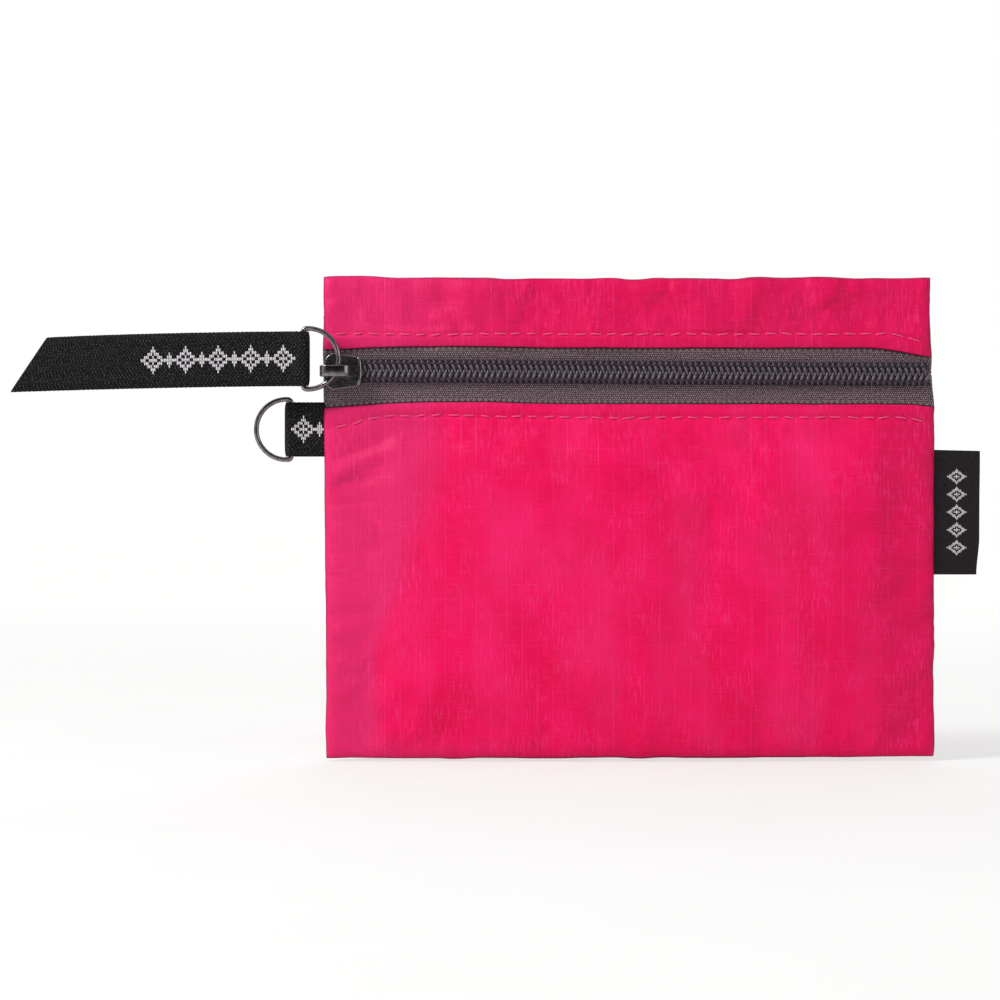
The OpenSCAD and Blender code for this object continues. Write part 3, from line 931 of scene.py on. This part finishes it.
def coil_turn():
    """One turn of the filament: share of the pitch, distance from the tooth line, depth, and thickness."""
    front_depth = COIL_FRONT - 0.3
    back_depth = TAPE_FRONT + 0.3
    head = 0.05
    heel = COIL_HALF - 0.45
    middle = (front_depth + back_depth) / 2
    rise = (front_depth - back_depth) / 2
    turn_points = []
    for t in np.linspace(0, 1, 9)[:-1]:
        across = heel + (head - heel) * t
        crest = bump(across - 0.95, 0.5)
        turn_points.append((0.5 * t, across, front_depth - 0.3 * (1 - crest), 0.25 + 0.13 * crest))
    for a in np.linspace(0, math.pi, 6)[:-1]:
        turn_points.append((0.5 + 0.1 * a / math.pi, head - rise * math.sin(a) * 0.9,
                            middle + (rise - 0.3) * math.cos(a), 0.25))
    for t in np.linspace(0, 1, 4)[:-1]:
        turn_points.append((0.6 + 0.3 * t, head + (heel - head) * t, back_depth, 0.25))
    for a in np.linspace(0, math.pi, 5)[:-1]:
        turn_points.append((0.9 + 0.1 * a / math.pi, heel + rise * math.sin(a),
                            middle - rise * math.cos(a), 0.25))
    return np.array(turn_points)


def build_coil(side, part):
    """One row of teeth: a single filament wound in a flattened spiral."""
    name = half_name("zipper_coil", side)
    one = coil_turn()
    turns = int((2 * HALF_W - 1.2) / COIL_PITCH)
    start = -HALF_W + 0.6 + (0 if side > 0 else COIL_PITCH / 2)
    x = start + (np.repeat(np.arange(turns), len(one)) + np.tile(one[:, 0], turns)) * COIL_PITCH
    place = chain_place(x, np.tile(one[:, 1], turns), np.tile(one[:, 2], turns), side)
    keep = within(x, part)
    shape = Shape()
    add_tube(shape, place[keep], np.tile(one[:, 3], turns)[keep], sides=8)
    return shape.build(f"{name}_spiral_{part}", COIL, name)


def build_cord(side, part):
    """The two-ply cord inside the coil."""
    name = half_name("coil_cord", side)
    x = np.linspace(-HALF_W + 0.8, HALF_W - 0.8, 420)
    x = x[within(x, part)]
    middle = (COIL_FRONT + TAPE_FRONT) / 2
    shape = Shape()
    for ply in (0, math.pi):
        twist = x * 2 * math.pi / 1.9 + ply
        path = chain_place(x, 1.05 + 0.09 * np.cos(twist), middle + 0.07 * np.sin(twist), side)
        add_tube(shape, path, 0.11, sides=6)
    return shape.build(f"{name}_ply_{part}", TAPE_THREAD, name)


def build_coil_thread(side, part):
    """The chain stitch that binds the coil's heel to the tape: over each turn and down between."""
    name = half_name("coil_thread", side)
    x = np.arange(-HALF_W + 0.8, HALF_W - 0.8, COIL_PITCH / 8)
    x = x[within(x, part)]
    phase = (x + HALF_W - 0.6 - (0 if side > 0 else COIL_PITCH / 2)) * 2 * math.pi / COIL_PITCH
    shape = Shape()
    over = COIL_FRONT - 0.24 + 0.2 * np.cos(phase)
    add_tube(shape, chain_place(x, COIL_HALF - 0.5 + 0.16 * np.sin(phase), over, side), 0.2, sides=6)
    beside = TAPE_FRONT + 0.35 + 0.2 * np.cos(phase)
    add_tube(shape, chain_place(x, COIL_HALF + 0.1 - 0.1 * np.sin(phase), beside, side), 0.2, sides=6)
    return shape.build(f"{name}_stitch_{part}", TAPE_THREAD, name)


# ---------------------------------------------------------------- slider and rings

def bevelled(name, blocks, bevel, material, node):
    """Closed blocks with rounded edges. Each is an outline of x, z points with a back and a front depth."""
    bm = bmesh.new()
    for outline, back, front in blocks:
        low = [bm.verts.new((x * MM, -back * MM, z * MM)) for x, z in outline]
        made = bmesh.ops.extrude_face_region(bm, geom=[bm.faces.new(low)])
        moved = [part for part in made["geom"] if isinstance(part, bmesh.types.BMVert)]
        bmesh.ops.translate(bm, verts=moved, vec=(0, (back - front) * MM, 0))
    bmesh.ops.recalc_face_normals(bm, faces=bm.faces)
    sharp = [e for e in bm.edges if len(e.link_faces) == 2 and e.calc_face_angle() > SHARP]
    bmesh.ops.bevel(bm, geom=sharp, offset=bevel * MM, segments=3, profile=0.6, affect="EDGES",
                    clamp_overlap=True)
    mesh = bpy.data.meshes.new(name)
    bm.to_mesh(mesh)
    bm.free()
    cloth = np.array([v.co for v in mesh.vertices])[:, [0, 2, 1]] / MM
    piece = make_piece(name, mesh, cloth, material, node)
    piece.modifiers.new("even shading", "WEIGHTED_NORMAL").keep_sharp = False
    return piece


def plate_outline(nose, tail, nose_half, tail_half, mid):
    """A slider plate: rounded at the nose, waisted along its sides and narrower at the tail."""
    r = 2.2
    half = [turn(nose + r, nose_half - r, r, 180, 90, 8)]
    half.append(np.array([[nose + 4.2, (nose_half + tail_half) / 2 - 0.05]]))
    half.append(turn(tail - 0.7, tail_half - 0.7, 0.7, 90, 0, 4))
    upper = np.concatenate(half)
    lower = upper[::-1] * [1, -1]
    outline = np.concatenate([upper, lower])
    outline[:, 1] += mid
    return outline


def rectangle(x0, x1, z0, z1):
    return np.array([[x0, z0], [x1, z0], [x1, z1], [x0, z1]])


def build_slider():
    """Front and rear plates, side flanges, the wedge between them and the lip at the tail."""
    nose = SLIDER_LOW[0]
    tail = SLIDER_HIGH[0]
    half = (SLIDER_HIGH[2] - SLIDER_LOW[2]) / 2
    mid = (SLIDER_HIGH[2] + SLIDER_LOW[2]) / 2
    front = SLIDER_HIGH[1]
    rear = SLIDER_LOW[1]
    plate = 0.8
    narrow = half - 0.65
    flange = 0.55
    blocks = [(plate_outline(nose, tail, half, narrow, mid), front - plate, front)]
    blocks.append((plate_outline(nose + 0.8, tail - 0.1, half - 0.2, narrow - 0.2, mid), rear, rear + 0.65))
    wedge = nose + WEDGE_START
    behind = wedge + WEDGE_LENGTH + 0.3
    for side in (-1, 1):
        outer = [mid + side * ((half + narrow) / 2 - 0.08), mid + side * (narrow - 0.04)]
        strip = np.array([[behind, outer[0]], [tail - 0.35, outer[1]],
                          [tail - 0.35, outer[1] - side * flange], [behind, outer[0] - side * flange]])
        blocks.append((strip, TAPE_FRONT + 0.15, front - 0.3))
    blocks.append((rectangle(wedge, wedge + WEDGE_LENGTH, mid - 0.55, mid + 0.55), rear + 0.3, front - 0.4))
    cast = bevelled("slider_body_cast", blocks, 0.2, METAL, "slider_body")
    shape = Shape()
    rim = plate_outline(nose + 0.15, tail - 0.15, half - 0.15, narrow - 0.15, mid)
    add_tube(shape, np.stack([rim[:, 0], np.full(len(rim), front - 0.18), rim[:, 1]], 1), 0.22, closed=True)
    t = np.linspace(-1, 1, 25)
    lip_x = tail - 0.5 + 0.3 * (1 - t ** 2)
    lip = np.stack([lip_x, front + 0.02 - 0.25 * t ** 6, mid + t * (narrow - 0.3)], 1)
    add_tube(shape, lip, 0.42, sides=14)
    return cast, shape.build("slider_body_rim", METAL, "slider_body")


def build_crown():
    """The bridge that the ring hangs in: a strap bent up from the nose and down again near the tail."""
    left, _, low = CROWN_LOW
    right, top, high = CROWN_HIGH
    base = CROWN_LOW[1] - 0.25
    t = 0.8
    r = 1.3
    path = [np.array([[left + t / 2, base]])]
    path.append(turn(left + t / 2 + r, top - t / 2 - r, r, 180, 90, 8))
    path.append(turn(right - t / 2 - r, top - t / 2 - r, r, 90, 0, 8))
    path.append(np.array([[right - t / 2, base]]))
    line = np.concatenate(path)
    mid = (low + high) / 2
    half = (high - low) / 2
    corner = 0.24
    section = []
    for cx, cz, start in ((1, 1, 0), (-1, 1, 90), (-1, -1, 180), (1, -1, 270)):
        section.append(turn(cx * (t / 2 - corner), cz * (half - corner), corner, start, start + 90, 4))
    section = np.concatenate(section)
    ahead = directions(line)
    out = np.stack([-ahead[:, 1], ahead[:, 0]], 1)
    points = np.zeros((len(line), len(section), 3))
    points[:, :, 0] = line[:, None, 0] + out[:, None, 0] * section[None, :, 0]
    points[:, :, 1] = line[:, None, 1] + out[:, None, 1] * section[None, :, 0]
    points[:, :, 2] = mid + section[None, :, 1]
    sides = len(section)
    shape = Shape()
    shape.add(points, quads(len(line), sides, close_cols=True) + caps(len(line), sides))
    return shape.build("slider_crown_strap", METAL, "slider_crown")


def build_ring(name, bar, facing):
    """A D-ring of bent wire whose ends meet in the bar. facing is +1 when the bow is at +x."""
    low, high = box_mm(name)
    half = (high[2] - low[2]) / 2 - WIRE_R
    width = high[0] - low[0] - 2 * WIRE_R
    leg = width - half
    corner = 0.7
    path = [np.array([[0, 0.04], [0, half - corner]])]
    path.append(turn(corner, half - corner, corner, 180, 90, 6))
    path.append(turn(leg, 0, half, 90, -90, 44))
    path.append(turn(corner, -half + corner, corner, 270, 180, 6))
    path.append(np.array([[0, -half + corner], [0, -0.04]]))
    line = np.concatenate(path)
    points = np.stack([bar[0] + facing * line[:, 0], np.full(len(line), bar[1]), bar[2] + line[:, 1]], 1)
    shape = Shape()
    add_tube(shape, points, WIRE_R, sides=18)
    return shape.build(name + "_wire", METAL, name)


# ---------------------------------------------------------------- webbing and label

FOLD_OPEN = WIRE_R + 0.06 + WEB / 2     # from the bar's axis to the middle of the webbing round it
FOLD_LAY = WEB / 2 + 0.02               # the same where the two layers lie together
OPEN_REACH = 3.2                        # how far from the bar that is
TAB_SLANT = 7.7
TAB_FALL = 1.2
MOTIF_PITCH = 6.9


def doubled_path(bar_x, reach, direction, steps):
    """Centre line of webbing, in along the front, round the bar and out behind, as x, depth offset."""
    away = np.linspace(reach, 0.0, steps)
    spread = FOLD_LAY + (FOLD_OPEN - FOLD_LAY) * (1 - smooth(away / OPEN_REACH))
    front = np.stack([bar_x + direction * away, spread], 1)
    bend = turn(0, 0, FOLD_OPEN, 90, -90, 14)[1:-1]
    bend = np.stack([bar_x - direction * bend[:, 0], bend[:, 1]], 1)
    back = front[::-1] * [1, -1]
    return np.concatenate([front, bend, back])


def droop(away, fall):
    """How far webbing hangs below its start at a distance from it, for a given fall at 60 mm."""
    return fall * (away / 60) ** 1.6


def add_webbing(shape, line, axis, width, slant, fall):
    """Flat webbing with soft, scalloped selvedges along a path of x and depth offset from the bar's axis."""
    run = lengths(line)
    ahead = directions(line)
    out = np.stack([-ahead[:, 1], ahead[:, 0]], 1)
    across = np.sin(np.linspace(-1, 1, 25) * math.pi / 2)
    loop_v = np.concatenate([across, across[::-1][1:-1]])
    sign = np.repeat([1, -1], [25, 23])
    thick = np.sqrt(np.clip(1 - np.abs(loop_v) ** 7, 0, 1)) * (WEB / 2 - 0.03)
    sides = len(loop_v)
    count = len(line)
    pick = 0.9
    scallop = 0.16 * np.abs(np.sin(math.pi * run / pick))
    half = width / 2 - 0.05 + scallop
    v = loop_v[None, :] * half[:, None]
    rib = 0.02 * np.cos(2 * math.pi * run / pick)
    off = sign[None, :] * (thick[None, :] + rib[:, None] * (np.abs(loop_v) < 0.9))
    points = np.zeros((count, sides, 3))
    points[:, :, 0] = line[:, None, 0] + out[:, None, 0] * off
    points[:, :, 1] = axis[1] + line[:, None, 1] + out[:, None, 1] * off
    points[:, :, 2] = axis[2] + v
    far = np.abs(line[:, 0] - line[count // 2, 0])
    share = far / far.max()
    points[:, :, 0] += slant * (v / width + 0.5) * share[:, None] ** 3
    points[:, :, 2] -= droop(far, fall)[:, None]
    cloth = np.zeros_like(points)
    cloth[:, :, 0] = run[:, None]
    cloth[:, :, 1] = v
    shape.add(points, quads(count, sides, close_cols=True) + caps(count, sides), cloth)


def add_floats(shape, cells, place, width, height, lift):
    """Raised floats of white floss, one for each cell of a motif."""
    t = np.linspace(-1, 1, 5)
    for u, v in cells:
        x, depth, z = place(u, v)
        path = np.stack([x + 0 * t, depth + lift * (1 - t ** 2), z + t * height / 2], 1)
        add_tube(shape, path, width / 2 * (1 - 0.25 * t ** 4), sides=6, flat=0.55, squash_axis=1)


def lozenge(centre, half_w, half_h, step_u, step_v, hollow):
    """Cells of a stepped lozenge, with a gap round its middle when hollow."""
    cells = []
    for i in np.arange(-half_w, half_w + 1e-6, step_u):
        for j in np.arange(-half_h, half_h + 1e-6, step_v):
            size = abs(i) / half_w + abs(j) / half_h
            ring = size <= 1.02 and (size > 0.6 or size < 0.3 or not hollow)
            if ring:
                cells.append((centre + i, j))
    return cells


def build_pull_tab():
    """Webbing doubled round the ring's bar, its free end cut on the slant."""
    low, high = box_mm("pull_tab")
    reach = RING_AXIS[0] - low[0]
    line = doubled_path(RING_AXIS[0], reach, -1, 130)
    shape = Shape()
    add_webbing(shape, line, RING_AXIS, high[2] - low[2], TAB_SLANT, TAB_FALL)
    return shape.build("pull_tab_webbing", WEBBING, "pull_tab")


def webbing_front(u, v, axis, direction, fall):
    """A point on the front of webbing doubled round the bar at axis, v above its middle."""
    away = direction * (u - axis[0])
    spread = FOLD_LAY + (FOLD_OPEN - FOLD_LAY) * (1 - smooth(away / OPEN_REACH))
    return u, axis[1] + spread + WEB / 2 - 0.03, axis[2] + v - droop(away, fall)


def add_motif(shape, large, small, place):
    """Hollow lozenges at the large centres and solid little ones at the small centres."""
    for centre in large:
        add_floats(shape, lozenge(centre, 2.45, 2.6, 0.35, 0.65, True), place, 0.3, 0.62, 0.07)
    for centre in small:
        add_floats(shape, lozenge(centre, 0.7, 1.3, 0.35, 0.65, False), place, 0.3, 0.62, 0.07)


def build_tab_motif():
    """A row of woven lozenges on the tab's front."""
    def place(u, v):
        return webbing_front(u, v, RING_AXIS, -1, TAB_FALL)

    shape = Shape()
    large = RING_AXIS[0] - 4.2 - MOTIF_PITCH * np.arange(5)
    add_motif(shape, large, large[:-1] - MOTIF_PITCH / 2, place)
    return shape.build("pull_tab_motif", FLOSS)


def build_side_loop():
    """Webbing from the left seam, round the side ring's bar and back into the seam."""
    low, high = box_mm("side_loop")
    reach = -HALF_W + 1.3 - SIDE_AXIS[0]
    line = doubled_path(SIDE_AXIS[0], reach, 1, 26)
    shape = Shape()
    add_webbing(shape, line, SIDE_AXIS, high[2] - low[2], 0.0, 0.0)
    return shape.build("side_loop_webbing", WEBBING, "side_loop")


def build_loop_motif():
    """The same lozenges on the short loop, as far as the seam."""
    def place(u, v):
        return webbing_front(u, v, SIDE_AXIS, 1, 0.0)

    shape = Shape()
    centre = SIDE_AXIS[0] + 2.7
    add_motif(shape, [centre], [centre + MOTIF_PITCH / 2], place)
    return shape.build("side_loop_motif", FLOSS)


def label_bow(x, z):
    """How far the label stands off its plane."""
    out = (x - HALF_W) / (LABEL_HIGH[0] - HALF_W)
    return 0.25 * np.clip(out, 0, 1) ** 2 * np.sin(z / 9.0 + 0.6)


def build_label():
    """Satin folded at its free edge, both ends caught in the right seam."""
    root = HALF_W - 1.2
    middle = (LABEL_LOW[2] + LABEL_HIGH[2]) / 2
    half = (LABEL_HIGH[2] - LABEL_LOW[2]) / 2
    lay = 0.14
    x = np.linspace(root, LABEL_HIGH[0] - lay, 26)
    front = np.stack([x, np.full(len(x), lay)], 1)
    bend = turn(LABEL_HIGH[0] - lay, 0, lay, 90, -90, 7)[1:-1]
    line = np.concatenate([front, bend, front[::-1] * [1, -1]])
    run = lengths(line)
    levels = np.linspace(-half, half, 60)
    grid = np.zeros((len(line), len(levels), 3))
    cloth = np.zeros_like(grid)
    for i, (x, d) in enumerate(line):
        short = 0.6 * smooth((-levels - half + 8) / 8) - 0.1 * smooth((levels - 2) / 10)
        share = np.clip((x - HALF_W) / 10, 0, 1)
        grid[i, :, 0] = x - short * share
        grid[i, :, 2] = middle + levels - 0.25 * share * (levels > 0) * (levels / half)
        grid[i, :, 1] = SEAM_DEPTH + d + label_bow(x, levels)
        cloth[i, :, 0] = run[i]
        cloth[i, :, 1] = levels
    shape = Shape()
    add_sheet(shape, grid, 0.2, cloth)
    return shape.build("side_label_satin", SATIN, "side_label")


def build_label_motif():
    """A column of small woven lozenges in place of lettering."""
    middle = (LABEL_LOW[2] + LABEL_HIGH[2]) / 2

    def place(u, v):
        depth = SEAM_DEPTH + 0.25 + label_bow(HALF_W + 5.2 + v, u)
        return HALF_W + 5.2 + v, depth, middle + u

    shape = Shape()
    for centre in np.array([-7.6, -3.8, 0, 3.8, 7.6]):
        add_floats(shape, lozenge(centre, 1.5, 2.0, 0.3, 0.25, True), place, 0.22, 0.28, 0.04)
    return shape.build("side_label_motif", FLOSS)


# ---------------------------------------------------------------- the folded tote inside

def add_folded(shape, layers, step, reach, half_width, centre, first_depth, vertical, thickness):
    """A cloth folded to and fro. vertical folds run up and down, the others from side to side."""
    line = []
    r = step / 2
    for k in range(layers):
        ends = (-reach / 2 + r, reach / 2 - r)
        start, end = ends if k % 2 == 0 else ends[::-1]
        for t in np.linspace(0, 1, 24):
            line.append((start + (end - start) * t, k * step))
        if k < layers - 1:
            side = 1 if k % 2 == 0 else -1
            for a in np.linspace(-math.pi / 2, math.pi / 2, 7)[1:-1]:
                line.append((end + side * r * math.cos(a), k * step + r + r * math.sin(a)))
    line = np.array(line)
    run = lengths(line)
    across = np.linspace(-half_width, half_width, 30)
    grid = np.zeros((len(line), len(across), 3))
    cloth = np.zeros_like(grid)
    for i, (along, lift) in enumerate(line):
        soft = 0.03 * cloud(across, 0 * across + along, 14, 81)
        if vertical:
            grid[i, :, 0] = centre[0] + across
            grid[i, :, 2] = centre[1] + along
        else:
            grid[i, :, 0] = centre[0] + along
            grid[i, :, 2] = centre[1] + across
        grid[i, :, 1] = first_depth + lift + soft
        cloth[i, :, 0] = across
        cloth[i, :, 1] = run[i]
    add_sheet(shape, grid, thickness, cloth)


def build_tote():
    """The tote folded to and fro, and its two handles folded across the front of the pack."""
    made = []
    low, high = PACK_LOW, PACK_HIGH
    layers = 5
    step = (high[1] - low[1] - 0.3) / (layers - 1)
    centre = (0.0, (low[2] + high[2]) / 2)
    shape = Shape()
    half = (high[0] - low[0]) / 2
    add_folded(shape, layers, step, high[2] - low[2], half, centre, low[1] + 0.15, True, 0.3)
    made.append(shape.build("tote_body_cloth", TOTE_CLOTH, "tote_body"))
    for name in ("tote_handle_back", "tote_handle_front"):
        low, high = box_mm(name)
        shape = Shape()
        half = (high[2] - low[2]) / 2
        add_folded(shape, 2, 0.6, high[0] - low[0], half, centre, low[1] + 0.25, False, 0.45)
        made.append(shape.build(name + "_cloth", TOTE_CLOTH, name))
    return made


# ---------------------------------------------------------------- assembly

def gape(piece):
    """One half of the mouth: attached to the pouch, with a mesh of its own."""
    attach(piece, "pouch")
    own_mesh(piece)


gape(build_front_cloth("front_panel", bottom_edge, fold_down, -1, panel_depth, 170, 5.5))
gape(build_front_cloth("top_band", top_edge, fold_up, 1, band_depth, 48, 5.0))
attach(build_back_panel(), "pouch")
gape(build_stitches("topstitch_upper", stitch_up, band_depth))
gape(build_stitches("topstitch_lower", stitch_down, panel_depth))
for maker in (build_tape, build_coil, build_cord, build_coil_thread):
    for side in (1, -1):
        gape(maker(side, "run"))
        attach(maker(side, "end"), "pouch")
for piece in build_slider():
    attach(piece, "slider")
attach(build_crown(), "slider")
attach(build_ring("pull_ring", RING_AXIS, 1), "pull_ring")
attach(build_pull_tab(), "pull_tab")
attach(build_tab_motif(), "pull_tab")
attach(build_ring("side_ring", SIDE_AXIS, -1), "side_ring")
for piece in (build_side_loop(), build_loop_motif()):
    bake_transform(piece)
for piece in (build_label(), build_label_motif()):
    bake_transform(piece)
for piece in build_tote():
    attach(piece, "pouch")


# ---------------------------------------------------------------- floor, light and camera

def build_floor():
    """A pale floor that fades into the white of the background."""
    look = Look("floor")
    tree = look.tree
    place = look.node("ShaderNodeTexCoord")
    far = look.node("ShaderNodeVectorMath", operation="LENGTH")
    look.put(place.outputs["Object"], far.inputs[0])
    share = look.span(far.outputs["Value"], 0.1, 0.9, 0.55, 1.0)
    rays = look.node("ShaderNodeLightPath")
    share = look.math("MULTIPLY", share, rays.outputs["Is Camera Ray"])
    grain = look.noise(place.outputs["Object"], 30.0, 3.0)
    look.put(look.mix(look.span(grain, 0.3, 0.7), (0.86, 0.86, 0.855, 1), (0.9, 0.9, 0.895, 1)),
             look.shader.inputs["Base Color"])
    look.shader.inputs["Roughness"].default_value = 0.9
    glow = look.node("ShaderNodeEmission")
    glow.inputs["Color"].default_value = (1, 1, 0.992, 1)
    blend = look.node("ShaderNodeMixShader")
    look.put(share, blend.inputs[0])
    tree.links.new(look.shader.outputs[0], blend.inputs[1])
    tree.links.new(glow.outputs[0], blend.inputs[2])
    tree.links.new(blend.outputs[0], tree.nodes["Material Output"].inputs["Surface"])
    mesh = bpy.data.meshes.new("floor")
    reach = 4.0
    corners = [(-reach, -reach), (reach, -reach), (reach, reach), (-reach, reach)]
    z = -HALF_H * MM - 0.0006
    mesh.from_pydata([(x, y, z) for x, y in corners], [], [(0, 1, 2, 3)])
    mesh.materials.append(look.material)
    link_object("floor", mesh)


def build_world():
    """White to the camera, even and dimmer on the object, and dark straight ahead in mirror reflections."""
    world = bpy.data.worlds.new("studio")
    bpy.context.scene.world = world
    world.use_nodes = True
    look = Nodes(world.node_tree)
    rays = look.node("ShaderNodeLightPath")
    _, ahead, _ = look.split(look.node("ShaderNodeTexCoord").outputs["Generated"])
    mirror = look.span(ahead, -0.93, -0.4, 0.02, 0.8)
    soft = look.span(rays.outputs["Is Glossy Ray"], 0, 1, 0.4, 0.0)
    soft = look.math("ADD", soft, look.math("MULTIPLY", mirror, rays.outputs["Is Glossy Ray"]))
    strength = look.math("MAXIMUM", soft, rays.outputs["Is Camera Ray"])
    sky = world.node_tree.nodes["Background"]
    sky.inputs["Color"].default_value = (1, 1, 0.995, 1)
    look.put(strength, sky.inputs["Strength"])


def add_light(name, place, target, size, power):
    light = bpy.data.lights.new(name, "AREA")
    light.shape = "RECTANGLE"
    light.size, light.size_y = size
    light.energy = power
    obj = link_object(name, light)
    obj.location = place
    obj.rotation_euler = (Vector(target) - Vector(place)).to_track_quat("-Z", "Y").to_euler()


def build_camera():
    """A long lens square on to the front, with the tab and the label both in view."""
    width = 0.2134
    camera = bpy.data.cameras.new("camera")
    camera.lens = 100.0
    camera.sensor_width = 36.0
    distance = width * camera.lens / camera.sensor_width
    camera.clip_start = 0.01
    obj = link_object("camera", camera)
    obj.location = (-0.0275, -RIM * MM - distance, 0.0037)
    obj.rotation_euler = (math.pi / 2, 0, 0)
    bpy.context.scene.camera = obj


build_floor()
build_world()
add_light("key", (-0.62, -0.4, 0.6), (0.0, 0, 0.0), (0.3, 0.25), 7.1)
add_light("fill", (0.7, -0.6, 0.1), (0.0, 0, 0.0), (0.6, 0.6), 1.5)
add_light("back", (0.1, 0.9, 0.5), (0.0, 0, 0.0), (0.8, 0.6), 3.0)
build_camera()
bpy.context.scene.view_settings.view_transform = "Standard"
